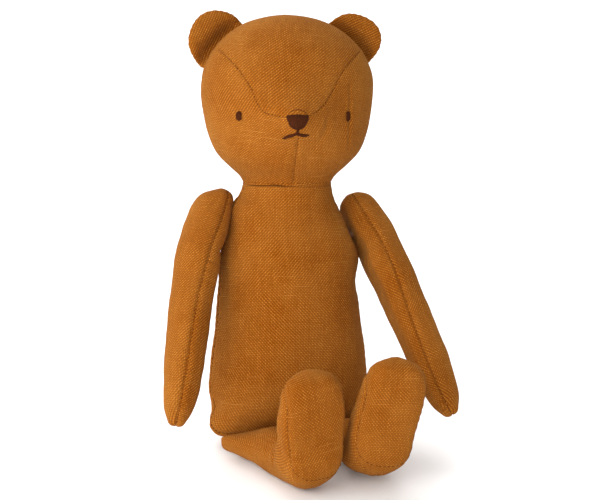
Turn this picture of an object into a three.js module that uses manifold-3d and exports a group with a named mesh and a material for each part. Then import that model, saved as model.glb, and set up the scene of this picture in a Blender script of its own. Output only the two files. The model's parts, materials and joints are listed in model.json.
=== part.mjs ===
// Jointed linen teddy bear, seated. Millimetres, +Z up. It faces -Y and its left side is +X.
import * as THREE from "three";
import { mergeVertices } from "three/addons/utils/BufferGeometryUtils.js";
import Module from "manifold-3d";

const wasm = await Module();
wasm.setup();

// ---- Driving dimensions ----
const CLOTH = 1.2; // cloth with its seam allowance
const GAP = 0.3; // between neighbouring pieces

const LEAN = rad(11); // the torso leans back by this
const SIDE_LEAN = rad(3.5); // and to its left by this
const SEAT_SINK = 1.6; // the soft seat is pressed flat by this
const TORSO_HEIGHT = 100; // bottom to neck seam
const NECK_RADIUS = 17.2;

const HEAD_HEIGHT = 66.8;
const HEAD_TURN = rad(-10.5); // towards the bear's right
const EAR_SEAM_Y = 8; // plane of the seam that holds the ears
const EAR = { x: 26.9, z: 56, radius: 12.2, thickness: 5.4, turn: rad(12), tilt: rad(-8) };
const MUZZLE = { reach: 8.5, height: 27, halfWidth: 13, halfHeight: 10 };
const EMBROIDERY = 0.9; // thickness of the stitched face
const NOSE = { top: 28.2, bottom: 23, topHalf: 4.2, bottomHalf: 1.4 };
const MOUTH = { top: 22.8, fork: 21, drop: 1.2, halfWidth: 5, stroke: 0.75 };
const EYE = { x: 20.9, z: 27, halfWidth: 1, halfHeight: 1.9 };

const SHOULDER_HEIGHT = 80; // of the arm joints, up the torso
const SHOULDER_REACH = 26.2; // of the arm joints, out from the torso's middle
const SHOULDER_TILT = { left: rad(17), right: rad(15) }; // the shoulders face up by this
const ARM_LENGTH = 99.5;
const ARM_ABOVE_JOINT = { left: 15, right: 16 };
const ARM_FLATNESS = 0.9; // thickness over width
const ARM_FLAT_CUT = 1.6; // depth of the flat that lies against the torso
const ARM_CLEARANCE = 0.6;
const ARM_SWING = { left: rad(33), right: rad(22) }; // forward from hanging
const ARM_ROLL = { left: rad(24), right: rad(0) }; // of the seams, towards the front middle

const HIP = { x: 17.8, height: 7.9 };
const HIP_FORWARD = { left: 13, right: 14 };
const LEG_TOE_IN = { left: rad(-2), right: rad(12.5) };
const LEG_TWIST = { left: rad(10), right: rad(0) }; // of the foot, outwards
const SOLE_FACE = 53.5; // hip seam to the sole's face
const SOLE_DEPTH = 3; // the sole's face to its seam

const STUD_RADIUS = 2;
const STUD_END = -7.6; // the stud's inner end, from the torso's skin
const DISC = { radius: 5, thickness: 1.5 };
const WASHER_FACE = -3; // its outer face, from the torso's skin
const LOCK = { radius: 3.8, thickness: 1.6 };

const BODY_SIDES = 20; // sides of the sections of the torso and the head
const LIMB_SIDES = 12;
const ROUND_SIDES = 16; // of the plastic parts
const FAR = 200; // reach of the cutting blocks

// Sections of the torso: height, half width, and reach to the front and the back.
const TORSO_SECTIONS = [
  [0, 21, 3.5, 14],
  [1.5, 25.5, 8, 18],
  [5, 29, 14, 21.5],
  [11, 31.2, 19.5, 23.5],
  [20, 31.6, 23.5, 24.5],
  [32, 30.6, 25, 24.5],
  [45, 28.8, 24, 23.5],
  [60, 27.6, 22.3, 22.3],
  [72, 27, 20.8, 21.2],
  [82, 25.8, 19.4, 19.8],
  [89, 23.2, 18.2, 18.6],
  [95, 19.8, 17.4, 17.6],
  [TORSO_HEIGHT, NECK_RADIUS, NECK_RADIUS, NECK_RADIUS],
];

// The same for the head, up from the neck seam and without the muzzle.
const HEAD_SECTIONS = [
  [0, NECK_RADIUS, NECK_RADIUS, NECK_RADIUS],
  [2.5, 19, 19.4, 19.4],
  [7, 23.2, 23.6, 23],
  [13, 28.4, 27.6, 27],
  [20, 31.4, 30.4, 30],
  [28, 33, 31.4, 31.8],
  [36, 33.8, 31.4, 32.4],
  [45, 33.2, 29.6, 31.4],
  [53, 29.2, 25.8, 28.2],
  [59.4, 23, 20.4, 22.8],
  [64.2, 14.8, 13.4, 15],
  [HEAD_HEIGHT, 4, 4, 4],
];

// Sections of an arm: share of its length down from the top, and half width.
const ARM_SECTIONS = [
  [0, 4.8], [0.02, 7.4], [0.06, 9.2], [0.13, 10.2], [0.24, 10.3], [0.38, 9.8], [0.53, 9.2],
  [0.67, 8.8], [0.79, 7.8], [0.89, 6], [0.96, 3.8], [1, 1.8],
];

// Sections of a leg and foot, from the hip seam round the heel to the toe: where the centre is,
// forward and up; the tilt in degrees; half width; and reach to the sole side and the instep side.
const LEG_SECTIONS = [
  [0, 0, 0, 11.8, 1.5, 1.5],
  [4.3, 0.2, 0, 11.1, 3, 3],
  [9.6, 0.5, 0, 10.1, 5.8, 5.6],
  [16.1, 0.9, 0, 9.3, 8.2, 8],
  [23.5, 1.1, 0, 9, 9, 8.9],
  [32.1, 1.2, 2, 9.3, 9.1, 9],
  [38, 3.2, 20, 10.5, 10.9, 8.3],
  [40.7, 6.2, 36, 12, 14.3, 7.7],
  [42.2, 9.6, 52, 13.3, 14.3, 7.5],
  [43.4, 14.8, 70, 14.2, 10.6, 7.6],
  [44.5, 20.9, 84, 14.8, 9.1, 7.7],
  [45.3, 27.8, 90, 14.8, 8.2, 7.6],
  [46.2, 34.2, 90, 13.5, 7.2, 6.6],
  [47.3, 38.5, 90, 10.5, 5.6, 5.1],
  [47.9, 41.3, 90, 5.1, 2.8, 2.8],
];

// Outline of the forehead panel: half width and height above the neck seam.
const FOREHEAD_OUTLINE = [
  [0, 27.5], [6.5, 28.6], [11.3, 31.5], [15, 36], [18, 42], [21, 47.5], [26, 52.5], [36, 58],
];

// Edge between the torso's front and back panels, seen from the side: y and height.
const TORSO_SEAM = [[0, 150], [0, 25], [-2.5, 16], [-6, 8.6], [-9.2, 3.5], [-14, -6]];

function rad(degrees) {
  return THREE.MathUtils.degToRad(degrees);
}

function at(x, y, z) {
  return new THREE.Vector3(x, y, z);
}
const RIGHTWARD = at(-1, 0, 0);
const LEFTWARD = at(1, 0, 0);
const FORWARD = at(0, -1, 0);
const BACKWARD = at(0, 1, 0);
const UP = at(0, 0, 1);
const ORIGIN = at(0, 0, 0);

// ---- Materials ----
const LINEN = cloth(0xa8601e);
const LINEN_DARK = cloth(0x98551a);
const THREAD = new THREE.MeshStandardMaterial({ color: 0x43200f, roughness: 0.7, metalness: 0 });
const FILLING = cloth(0xefe9dc);
const PLASTIC = new THREE.MeshStandardMaterial({ color: 0xd8d2c4, roughness: 0.45, metalness: 0 });

function cloth(colour) {
  return new THREE.MeshStandardMaterial({ color: colour, roughness: 0.95, metalness: 0 });
}

// ---- Solids ----
function solid(geometry) {
  const bare = geometry.clone();
  bare.deleteAttribute("normal");
  bare.deleteAttribute("uv");
  const merged = mergeVertices(bare, 1e-4);
  const mesh = new wasm.Mesh({
    numProp: 3,
    vertProperties: new Float32Array(merged.attributes.position.array),
    triVerts: new Uint32Array(merged.index.array),
  });
  return new wasm.Manifold(mesh);
}

function geometryOf(body) {
  const { vertProperties, triVerts } = body.getMesh();
  const geometry = new THREE.BufferGeometry();
  geometry.setAttribute("position", new THREE.BufferAttribute(new Float32Array(vertProperties), 3));
  geometry.setIndex(new THREE.BufferAttribute(new Uint32Array(triVerts), 1));
  geometry.computeVertexNormals();
  return geometry;
}

// Closed skin over rings of points. Each ring turns anticlockwise, seen from the next ring.
function loft(rings) {
  const sides = rings[0].length;
  const points = rings.flat();
  for (const end of [rings[0], rings[rings.length - 1]]) {
    const middle = at(0, 0, 0);
    end.forEach((point) => middle.addScaledVector(point, 1 / sides));
    points.push(middle);
  }
  const [firstMiddle, lastMiddle] = [points.length - 2, points.length - 1];
  const lastRing = (rings.length - 1) * sides;
  const faces = [];
  for (let j = 0; j < sides; j += 1) {
    const next = (j + 1) % sides;
    faces.push(firstMiddle, next, j, lastMiddle, lastRing + j, lastRing + next);
    for (let start = 0; start < lastRing; start += sides) {
      const [a, b] = [start + j, start + next];
      faces.push(a, b, a + sides, b, b + sides, a + sides);
    }
  }
  const geometry = new THREE.BufferGeometry().setFromPoints(points);
  geometry.setIndex(faces);
  return solid(geometry);
}

// Points of an egg-shaped ring: half size along the first axis, and reaches along the second.
function ring(centre, first, second, half, before, after, sides) {
  return Array.from({ length: sides }, (_, i) => {
    const angle = (2 * Math.PI * i) / sides;
    const reach = Math.sin(angle) < 0 ? before : after;
    const point = centre.clone().addScaledVector(first, half * Math.cos(angle));
    return point.addScaledVector(second, reach * Math.sin(angle));
  });
}

// Block that fills the side of a plane to which the normal points.
function beyond(point, normal) {
  const block = new THREE.BoxGeometry(2 * FAR, 2 * FAR, 2 * FAR);
  const turn = new THREE.Quaternion().setFromUnitVectors(UP, normal);
  return solid(block.translate(0, 0, FAR).applyQuaternion(turn).translate(point.x, point.y, point.z));
}

// Cylinder along an axis, between two distances from a point on it.
function rod(point, axis, radius, from, to) {
  const [low, high] = [Math.min(from, to), Math.max(from, to)];
  const shape = new THREE.CylinderGeometry(radius, radius, high - low, ROUND_SIDES);
  const turn = new THREE.Quaternion().setFromUnitVectors(BACKWARD, axis);
  const middle = point.clone().addScaledVector(axis, (low + high) / 2);
  return solid(shape.applyQuaternion(turn).translate(middle.x, middle.y, middle.z));
}

// Prism along X of an outline of y and z.
function sidewaysPrism(outline) {
  const shape = new THREE.Shape(outline.map(([y, z]) => new THREE.Vector2(y, z)));
  const prism = new THREE.ExtrudeGeometry(shape, { depth: 2 * FAR, bevelEnabled: false });
  const axes = new THREE.Matrix4().makeBasis(BACKWARD, UP, LEFTWARD);
  return solid(prism.translate(0, 0, -FAR).applyMatrix4(axes));
}

// Prism from the middle of the head towards the front, of an outline of x and z.
function faceCutter(outline) {
  const shape = new THREE.Shape(outline.map(([x, z]) => new THREE.Vector2(x, z)));
  const prism = new THREE.ExtrudeGeometry(shape, { depth: FAR, bevelEnabled: false });
  const axes = new THREE.Matrix4().makeBasis(LEFTWARD, UP, FORWARD);
  return solid(prism.applyMatrix4(axes));
}

function meshes(bodies, look) {
  return Object.entries(bodies).map(([name, body]) => {
    const mesh = new THREE.Mesh(geometryOf(body), look);
    mesh.name = name;
    return mesh;
  });
}

// ---- Torso ----
// The torso stands upright here; its group leans it over and sets it on the ground.
const trunkTurn = new THREE.Euler(-LEAN, SIDE_LEAN, 0, "YXZ");
const trunkUp = UP.clone().applyQuaternion(new THREE.Quaternion().setFromEuler(trunkTurn).invert());
const seatLevel = Math.min(...torsoRings(0, TORSO_HEIGHT).flat().map((p) => p.dot(trunkUp))) + SEAT_SINK;

// Rings of the torso pulled in by a depth, with its top at a given height.
function torsoRings(depth, top) {
  const last = TORSO_SECTIONS.length - 1;
  const rings = TORSO_SECTIONS.map(([height, half, front, back], i) => {
    const level = i === last ? top : Math.max(height, depth);
    return ring(at(0, 0, level), LEFTWARD, BACKWARD, half - depth, front - depth, back - depth, BODY_SIDES);
  });
  return rings.filter((points, i) => i === 0 || points[0].z > rings[0][0].z + GAP);
}

function torsoSolid(depth, top) {
  const ground = trunkUp.clone().multiplyScalar(seatLevel + depth);
  return loft(torsoRings(depth, top)).intersect(beyond(ground, trunkUp));
}

function shoulder(name, side) {
  return {
    point: at(side * SHOULDER_REACH, 0, SHOULDER_HEIGHT),
    axis: at(side * Math.cos(SHOULDER_TILT[name]), 0, Math.sin(SHOULDER_TILT[name])),
  };
}

function torsoPieces() {
  const shell = torsoSolid(0, TORSO_HEIGHT).subtract(torsoSolid(CLOTH, TORSO_HEIGHT + 2));
  const fill = torsoSolid(CLOTH + GAP, TORSO_HEIGHT - GAP / 2);
  const frontRegion = (shift) => {
    const edge = TORSO_SEAM.map(([y, z]) => [y - shift, z]);
    return sidewaysPrism([...edge, [-FAR, -FAR], [-FAR, 150]]);
  };
  let front = shell.intersect(frontRegion(GAP));
  let back = shell.subtract(frontRegion(0));
  let stuffing = fill;
  const washers = {};
  for (const [name, side] of [["left", 1], ["right", -1]]) {
    const { point, axis } = shoulder(name, side);
    const hole = rod(point, axis, STUD_RADIUS + GAP, STUD_END - GAP, 10);
    const pocket = rod(point, axis, DISC.radius + GAP, STUD_END - GAP, 10);
    front = front.subtract(hole);
    back = back.subtract(hole);
    stuffing = stuffing.subtract(pocket);
    const washer = rod(point, axis, DISC.radius, WASHER_FACE - DISC.thickness, WASHER_FACE);
    washers[`arm_${name}_washer`] = washer.subtract(hole);
  }
  const backHalf = (side) => back.intersect(beyond(at((side * GAP) / 2, 0, 0), at(side, 0, 0)));
  return [
    ...meshes({ torso_front: front }, LINEN),
    ...meshes({ torso_back_left: backHalf(1), torso_back_right: backHalf(-1) }, LINEN_DARK),
    ...meshes({ torso_stuffing: stuffing }, FILLING),
    ...meshes(washers, PLASTIC),
  ];
}

// ---- Head ----
// Head pulled in by a depth, or grown by a negative one, from a given bottom.
function headSolid(depth, bottom) {
  const rings = HEAD_SECTIONS.map(([height, half, front, back], i) => {
    const level = i === 0 ? bottom : Math.min(height, HEAD_HEIGHT - depth);
    const last = i === HEAD_SECTIONS.length - 1;
    const shrink = last ? 0 : depth;
    const points = ring(
      at(0, 0, last ? HEAD_HEIGHT - depth : level),
      LEFTWARD, BACKWARD, half - shrink, front - shrink, back - shrink, BODY_SIDES,
    );
    points.forEach((point) => {
      const reach = MUZZLE.reach * Math.exp(
        -((point.x / MUZZLE.halfWidth) ** 2) - ((height - MUZZLE.height) / MUZZLE.halfHeight) ** 2,
      );
      point.y -= point.y < 0 ? reach : 0;
    });
    return points;
  });
  return loft(rings);
}

// Outline of a symmetrical shape from its right-hand half, which runs from the middle out.
function mirrored(half) {
  const other = half.filter(([x]) => x > 0).map(([x, z]) => [-x, z]);
  return [...other.reverse(), ...half];
}

function foreheadRegion(grow) {
  const curve = new THREE.SplineCurve(FOREHEAD_OUTLINE.map(([x, z]) => new THREE.Vector2(x, z)));
  const half = curve.getPoints(14).map(({ x, y }) => [x > 0 ? x + grow : 0, y - grow]);
  const widest = half[half.length - 1][0];
  return faceCutter(mirrored([...half, [widest, 90]])).add(
    solid(new THREE.BoxGeometry(2 * widest, 2, 90 - half[half.length - 1][1])
      .translate(0, 0, (90 + half[half.length - 1][1]) / 2)),
  );
}

function earPieces(name, side) {
  const disc = new THREE.SphereGeometry(EAR.radius, 16, 10);
  disc.scale(1, EAR.thickness / 2 / EAR.radius, 1);
  const turn = new THREE.Euler(EAR.tilt, 0, side * EAR.turn, "XYZ");
  const place = new THREE.Matrix4().makeRotationFromEuler(turn);
  place.setPosition(side * EAR.x, EAR_SEAM_Y, EAR.z);
  const ear = solid(disc.applyMatrix4(place)).subtract(headSolid(-GAP, -2));
  const middle = at(side * EAR.x, EAR_SEAM_Y, EAR.z);
  const facing = FORWARD.clone().applyEuler(turn);
  const half = (sense) => {
    const edge = middle.clone().addScaledVector(facing, (sense * GAP) / 2);
    return ear.intersect(beyond(edge, facing.clone().multiplyScalar(sense)));
  };
  return meshes({ [`ear_${name}_front`]: half(1), [`ear_${name}_back`]: half(-1) }, LINEN);
}

function ellipse(x, z, halfWidth, halfHeight) {
  return Array.from({ length: 14 }, (_, i) => {
    const angle = (2 * Math.PI * i) / 14;
    return [x + halfWidth * Math.cos(angle), z + halfHeight * Math.sin(angle)];
  });
}

function facePieces() {
  const layer = headSolid(-GAP - EMBROIDERY, -2).subtract(headSolid(-GAP, -3));
  const nose = mirrored([
    [0, NOSE.bottom], [NOSE.bottomHalf, NOSE.bottom + 0.2], [NOSE.topHalf * 0.8, NOSE.bottom + 2.2],
    [NOSE.topHalf, NOSE.top - 1.2], [NOSE.topHalf * 0.9, NOSE.top], [0, NOSE.top + 0.3],
  ]);
  const half = MOUTH.stroke / 2;
  const low = MOUTH.fork - MOUTH.drop;
  const mouth = mirrored([
    [0, MOUTH.fork - half], [MOUTH.halfWidth * 0.6, low + 0.2], [MOUTH.halfWidth, low - half],
    [MOUTH.halfWidth + 0.2, low + half], [MOUTH.halfWidth * 0.55, low + 1.3],
    [half, MOUTH.fork + half], [half, MOUTH.top - GAP],
  ]);
  const stitched = {
    nose_embroidery: nose,
    mouth_embroidery: mouth,
    eye_left: ellipse(EYE.x, EYE.z, EYE.halfWidth, EYE.halfHeight),
    eye_right: ellipse(-EYE.x, EYE.z, EYE.halfWidth, EYE.halfHeight),
  };
  const bodies = Object.entries(stitched).map(([name, outline]) => [name, layer.intersect(faceCutter(outline))]);
  return meshes(Object.fromEntries(bodies), THREAD);
}

function headPieces() {
  const shell = headSolid(0, 0).subtract(headSolid(CLOTH, -2)).intersect(beyond(at(0, 0, GAP / 2), UP));
  const front = shell.intersect(beyond(at(0, EAR_SEAM_Y - GAP / 2, 0), FORWARD));
  const back = shell.intersect(beyond(at(0, EAR_SEAM_Y + GAP / 2, 0), BACKWARD));
  const cheeks = front.subtract(foreheadRegion(GAP));
  const leftSide = beyond(at(GAP / 2, 0, 0), LEFTWARD);
  const rightSide = beyond(at(-GAP / 2, 0, 0), RIGHTWARD);
  const bodies = {
    forehead_panel: front.intersect(foreheadRegion(0)),
    cheek_left: cheeks.intersect(leftSide),
    cheek_right: cheeks.intersect(rightSide),
  };
  const backs = { head_back_left: back.intersect(leftSide), head_back_right: back.intersect(rightSide) };
  const stuffing = headSolid(CLOTH + GAP, GAP / 2);
  return [
    ...meshes(bodies, LINEN),
    ...meshes(backs, LINEN_DARK),
    ...meshes({ head_stuffing: stuffing }, FILLING),
    ...earPieces("left", 1),
    ...earPieces("right", -1),
    ...facePieces(),
  ];
}

// ---- Arms ----
// An arm hangs along -Z from its joint at the origin, with the torso's side at x = 0.
function armSolid(name, side, depth) {
  const top = ARM_ABOVE_JOINT[name] - depth;
  const length = ARM_LENGTH - 2 * depth;
  const thickest = 9.6 * ARM_FLATNESS;
  const middle = side * (thickest - ARM_FLAT_CUT + ARM_CLEARANCE);
  const rings = ARM_SECTIONS.map(([share, half]) => {
    const wide = Math.max(half - depth, GAP);
    const thick = wide * ARM_FLATNESS;
    return ring(at(middle, 0, top - share * length), LEFTWARD, FORWARD, thick, wide, wide, LIMB_SIDES);
  });
  return loft(rings).intersect(beyond(at(side * (ARM_CLEARANCE + depth), 0, 0), at(side, 0, 0)));
}

function armPieces(name, side) {
  const axis = at(side, 0, 0);
  const discFace = ARM_CLEARANCE + CLOTH + GAP;
  const lockFace = WASHER_FACE - DISC.thickness - GAP;
  const hole = rod(ORIGIN, axis, STUD_RADIUS + GAP, -1, discFace);
  const pocket = rod(ORIGIN, axis, DISC.radius + GAP, 0, discFace + DISC.thickness + GAP);
  const shell = armSolid(name, side, 0).subtract(armSolid(name, side, CLOTH)).subtract(hole);
  const middle = at(side * (9.6 * ARM_FLATNESS - ARM_FLAT_CUT + ARM_CLEARANCE), 0, 0);
  const split = at(side, 0, 0).applyAxisAngle(UP, -side * ARM_ROLL[name]);
  const half = (sense) => {
    const edge = middle.clone().addScaledVector(split, (sense * GAP) / 2);
    return shell.intersect(beyond(edge, split.clone().multiplyScalar(sense)));
  };
  const disc = rod(ORIGIN, axis, DISC.radius, discFace, discFace + DISC.thickness);
  const stud = rod(ORIGIN, axis, STUD_RADIUS, STUD_END, discFace + DISC.thickness / 2);
  const lock = rod(ORIGIN, axis, LOCK.radius, lockFace - LOCK.thickness, lockFace);
  const lockHole = rod(ORIGIN, axis, STUD_RADIUS + GAP, STUD_END - 1, 0);
  const pieces = [
    ...meshes({ [`arm_${name}_outer`]: half(1), [`arm_${name}_inner`]: half(-1) }, LINEN),
    ...meshes({ [`arm_${name}_stuffing`]: armSolid(name, side, CLOTH + GAP).subtract(pocket) }, FILLING),
    ...meshes({ [`arm_${name}_disc`]: disc.add(stud), [`arm_${name}_lock`]: lock.subtract(lockHole) }, PLASTIC),
  ];
  const arm = new THREE.Group();
  arm.add(...pieces);
  arm.rotation.x = -ARM_SWING[name];
  const joint = new THREE.Group();
  joint.add(arm);
  joint.position.copy(shoulder(name, side).point);
  joint.rotation.y = -side * SHOULDER_TILT[name];
  return joint;
}

// ---- Legs ----
// A leg runs forward along -Y from its hip seam at the origin.
function legSolid(depth) {
  const kept = LEG_SECTIONS.filter((section) => section[4] > 2 * depth);
  const rings = kept.map(([forward, up, tilt, half, sole, instep], i) => {
    const towardInstep = at(0, Math.sin(rad(tilt)), Math.cos(rad(tilt)));
    const drop = i === kept.length - 1 ? depth : 0;
    const centre = at(0, -forward, up - drop);
    return ring(centre, LEFTWARD, towardInstep, half - depth, sole - depth, instep - depth, LIMB_SIDES);
  });
  return loft(rings);
}

// Turns a mesh about the leg's axis, more and more from the hip to the ankle.
function twist(mesh, angle) {
  const { position } = mesh.geometry.attributes;
  const point = at(0, 0, 0);
  for (let i = 0; i < position.count; i += 1) {
    point.fromBufferAttribute(position, i);
    point.applyAxisAngle(BACKWARD, angle * THREE.MathUtils.smoothstep(-point.y, 2, SOLE_FACE - 20));
    position.setXYZ(i, point.x, point.y, point.z);
  }
  mesh.geometry.computeVertexNormals();
}

function legPieces(name, side) {
  const shell = legSolid(0).subtract(legSolid(CLOTH));
  const seam = SOLE_FACE - SOLE_DEPTH;
  const upper = shell.intersect(beyond(at(0, -seam, 0), BACKWARD));
  const sole = shell.intersect(beyond(at(0, -seam - GAP, 0), FORWARD));
  const half = (sense) => upper.intersect(beyond(at((sense * GAP) / 2, 0, 0), at(sense, 0, 0)));
  const leg = new THREE.Group();
  leg.add(
    ...meshes({ [`leg_${name}_outer`]: half(side), [`leg_${name}_inner`]: half(-side) }, LINEN),
    ...meshes({ [`leg_${name}_sole`]: sole }, LINEN_DARK),
    ...meshes({ [`leg_${name}_stuffing`]: legSolid(CLOTH + GAP) }, FILLING),
  );
  leg.children.forEach((mesh) => twist(mesh, side * LEG_TWIST[name]));
  leg.position.set(side * HIP.x, -HIP_FORWARD[name], HIP.height);
  leg.rotation.z = -side * LEG_TOE_IN[name];
  return leg;
}

// ---- Assembly ----
const head = new THREE.Group();
head.add(...headPieces());
head.position.z = TORSO_HEIGHT;
head.rotation.z = HEAD_TURN;

const trunk = new THREE.Group();
trunk.add(...torsoPieces(), head, armPieces("left", 1), armPieces("right", -1));
trunk.rotation.copy(trunkTurn);
trunk.position.z = -seatLevel;

const bear = new THREE.Group();
bear.add(trunk, legPieces("left", 1), legPieces("right", -1));

// The origin is under the middle of the bear's box, on the ground.
const bounds = new THREE.Box3().setFromObject(bear, true);
bear.position.set(-(bounds.min.x + bounds.max.x) / 2, -(bounds.min.y + bounds.max.y) / 2, -bounds.min.z);

export default bear;
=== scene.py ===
"""Looks of the seated linen teddy bear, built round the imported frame. Metres, +Z up."""
import json
import math

import bpy
import numpy as np
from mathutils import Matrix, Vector, kdtree, noise


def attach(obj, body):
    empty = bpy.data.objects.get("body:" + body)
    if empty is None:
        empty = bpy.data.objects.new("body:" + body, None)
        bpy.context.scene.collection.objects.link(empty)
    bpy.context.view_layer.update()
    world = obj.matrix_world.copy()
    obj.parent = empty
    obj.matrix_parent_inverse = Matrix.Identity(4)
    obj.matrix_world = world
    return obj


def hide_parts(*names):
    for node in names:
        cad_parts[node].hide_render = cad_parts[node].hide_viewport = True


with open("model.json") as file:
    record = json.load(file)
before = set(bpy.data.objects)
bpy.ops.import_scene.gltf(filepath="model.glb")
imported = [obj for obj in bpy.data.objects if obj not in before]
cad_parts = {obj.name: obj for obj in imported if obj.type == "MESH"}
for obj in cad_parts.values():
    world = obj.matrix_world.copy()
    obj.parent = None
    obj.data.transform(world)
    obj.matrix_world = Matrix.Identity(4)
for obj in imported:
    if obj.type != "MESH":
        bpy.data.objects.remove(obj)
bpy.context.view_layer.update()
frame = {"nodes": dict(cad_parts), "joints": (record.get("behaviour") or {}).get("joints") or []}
JOINTS = {joint["name"]: np.array(joint["pos_m"]) for joint in frame["joints"]}
MM = 0.001
TAU = 2 * math.pi
SIDES = (("left", 1), ("right", -1))
SCENE = bpy.context.scene

# ---- Sizes in millimetres and turns in radians, as in the CAD source ----
LEAN, SIDE_LEAN, HEAD_TURN = math.radians(11), math.radians(3.5), math.radians(-10.5)
TORSO_HEIGHT, HEAD_HEIGHT = 100, 66.8
EAR_SEAM_Y = 8
EAR_X, EAR_Z, EAR_RADIUS = 26.9, 56, 12.2
EYE_X = 20.9
MUZZLE = (8.5, 27, 13, 10)  # how far out, height, half width, half height
SHOULDER_TILT = {"left": math.radians(17), "right": math.radians(15)}
ARM_SWING = {"left": math.radians(33), "right": math.radians(22)}
ARM_LENGTH, ARM_FLATNESS = 99.5, 0.9
ARM_ABOVE_JOINT = {"left": 15, "right": 16}
ARM_MIDDLE = 9.6 * ARM_FLATNESS - 1  # of an arm's sections, out from the face on the torso
LEG_TOE_IN = {"left": math.radians(-2), "right": math.radians(12.5)}
LEG_TWIST = {"left": math.radians(10), "right": 0.0}
SOLE_FACE, SOLE_DEPTH = 53.5, 3

# ---- Sections and a seam in millimetres, close to the CAD source's but with rounder ends ----
TORSO_SECTIONS = [  # height, half width, reach to the front, reach to the back
    (0.3, 1, 1, 1), (0, 12, 2.5, 8), (0, 21, 3.5, 14), (1.5, 25.5, 8, 18), (5, 29, 14, 21.5),
    (11, 31.2, 19.5, 23.5), (20, 31.6, 23.5, 24.5), (32, 30.6, 25, 24.5), (45, 28.8, 24, 23.5),
    (60, 27.6, 22.3, 22.3), (72, 27, 20.8, 21.2), (81, 25.6, 19.4, 19.8), (87, 22.8, 18.2, 18.6),
    (92, 19.8, 17.6, 17.8), (96, 17.9, 17.4, 17.5), (99, 17.5, 17.4, 17.4),
]
HEAD_SECTIONS = [
    (1.2, 17.3, 17.3, 17.3), (2.8, 18, 18.6, 18.4), (7, 22.5, 23.2, 22.6), (13, 28.4, 27.6, 27),
    (20, 31.4, 30.4, 30), (28, 33, 31.4, 31.8), (36, 33.8, 31.4, 32.4), (45, 33.2, 29.6, 31.4),
    (53, 29.2, 25.8, 28.2), (59.4, 23, 20.4, 22.8), (64.2, 14.8, 13.4, 15), (66.6, 5, 5, 5),
    (66.9, 0.3, 0.3, 0.3),
]
ARM_SECTIONS = [  # share of the length down from the top, half width
    (0, 0.3), (0.001, 5), (0.02, 7.6), (0.06, 9.2), (0.13, 10.3), (0.24, 10.7), (0.38, 10.3), (0.53, 9.6),
    (0.67, 9.1), (0.78, 8.5), (0.86, 7.4), (0.92, 5.8), (0.95, 4), (0.967, 2.2), (0.97, 0.3),
]
LEG_SECTIONS = [  # forward, up, tilt, half width, reach to the sole side, reach to the instep side
    (-2.4, -2, 0, 7, 0.9, 0.3), (-1.9, -1.8, 0, 10.6, 3.4, 1.2), (0, 0, 0, 11.8, 6.3, 1.5),
    (4.3, 0.2, 0, 11.3, 6.6, 3), (9.6, 0.5, 0, 10.4, 7.5, 5.6),
    (16.1, 0.9, 0, 9.3, 8.2, 8), (23.5, 1.1, 0, 9, 9, 8.9), (32.1, 1.2, 2, 9.3, 9.1, 9),
    (38, 3.2, 20, 10.5, 10.9, 8.3), (40.7, 6.2, 36, 12, 14.3, 7.7), (42.2, 9.6, 52, 13.3, 14.3, 7.5),
    (43.4, 14.8, 70, 14.2, 10.6, 7.6), (44.5, 20.9, 84, 14.8, 9.1, 7.7), (45.3, 27.8, 90, 14.8, 8.2, 7.6),
    (46.2, 34.2, 90, 13.5, 7.2, 6.6), (47.3, 38.5, 90, 10.5, 5.6, 5.1), (47.9, 41.3, 90, 5.1, 2.8, 2.8),
    (48, 41.9, 90, 0.3, 0.3, 0.3),
]
TORSO_SEAM = [(-6, -14), (1.6, -8), (4, -3.5), (8, 0), (14, 1), (150, 1)]  # height, how far back

# ---- Where the stuffed bear differs from its even CAD solids, in millimetres ----
FOREHEAD_OUTLINE = {  # distance from the middle of the face, height
    "left": [(0, 27.5), (6, 28.6), (10, 31.5), (13.9, 36.5), (17.1, 42), (21, 47.2), (26.4, 51.8), (36, 58)],
    "right": [
        (0, 27.3), (8.4, 28), (12.2, 29.3), (14.1, 31.7), (15, 34), (15.8, 36.5), (18.7, 42),
        (22.4, 47.2), (26.8, 52), (36, 59),
    ],
}
EYE_Z = 27.4
EYE_HALF = {"left": 0.5625, "right": 0.75}
NOSE_TOP, NOSE_HALF = 28.3, 3.75
ARM_DROP = {"left": 1.0, "right": 0.0}
ARM_STRETCH = {"left": 1.035, "right": 0.995}
ARM_LEAN = {  # share of the length, outwards
    "left": ((0, 0.1, 0.25, 0.4, 0.6, 0.8, 1), (0, -0.1, -0.1, 0.3, 0.1, 0.4, 1.4)),
    "right": ((0, 0.1, 0.25, 0.4, 0.6, 0.8, 1), (-2.2, -1.6, -0.3, 0.5, 0.6, 1.0, 2.8)),
}
ARM_SEAM_TURN = {  # share of the length, degrees that the front seam has turned
    "left": ((0, 0.1, 0.25, 0.4, 0.55, 0.7, 0.85, 1), (16, 10, 1, 5, 14, 20, 24, 26)),
    "right": ((0, 0.1, 0.25, 0.4, 0.55, 0.7, 1), (24, 15, 3, -3, -9, -13, -18)),
}
ARM_SHOULDER = {"left": 0.5, "right": 1.6}  # how far the filling swells it
ARM_BEND = {"left": (-12, 1.2, 0.45), "right": (-9, 1.4, 0.6)}  # height, width and depth of its crease
ARM_WEAVE = {"left": 0.6, "right": 0}  # share of the falling diagonal
EAR_ANGLES = (-180, -120, -70, -35, 0, 40, 80, 120, 180)  # degrees up from straight outwards
EAR_SHAPE = {  # share of the radius at each of these angles
    "left": (1, 0.95, 0.84, 0.84, 0.9, 0.94, 0.94, 1, 1),
    "right": (1, 0.98, 0.98, 0.97, 0.98, 1.0, 1.06, 1.06, 1),
}
TOE_LEAN = {"left": 0.9, "right": -1.6}  # sideways
FOOT_SHIFT = {"left": -1.3, "right": 0.6}
FOOT_HEIGHT = {"left": 0.965, "right": 0.985}  # share of the CAD foot's
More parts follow.
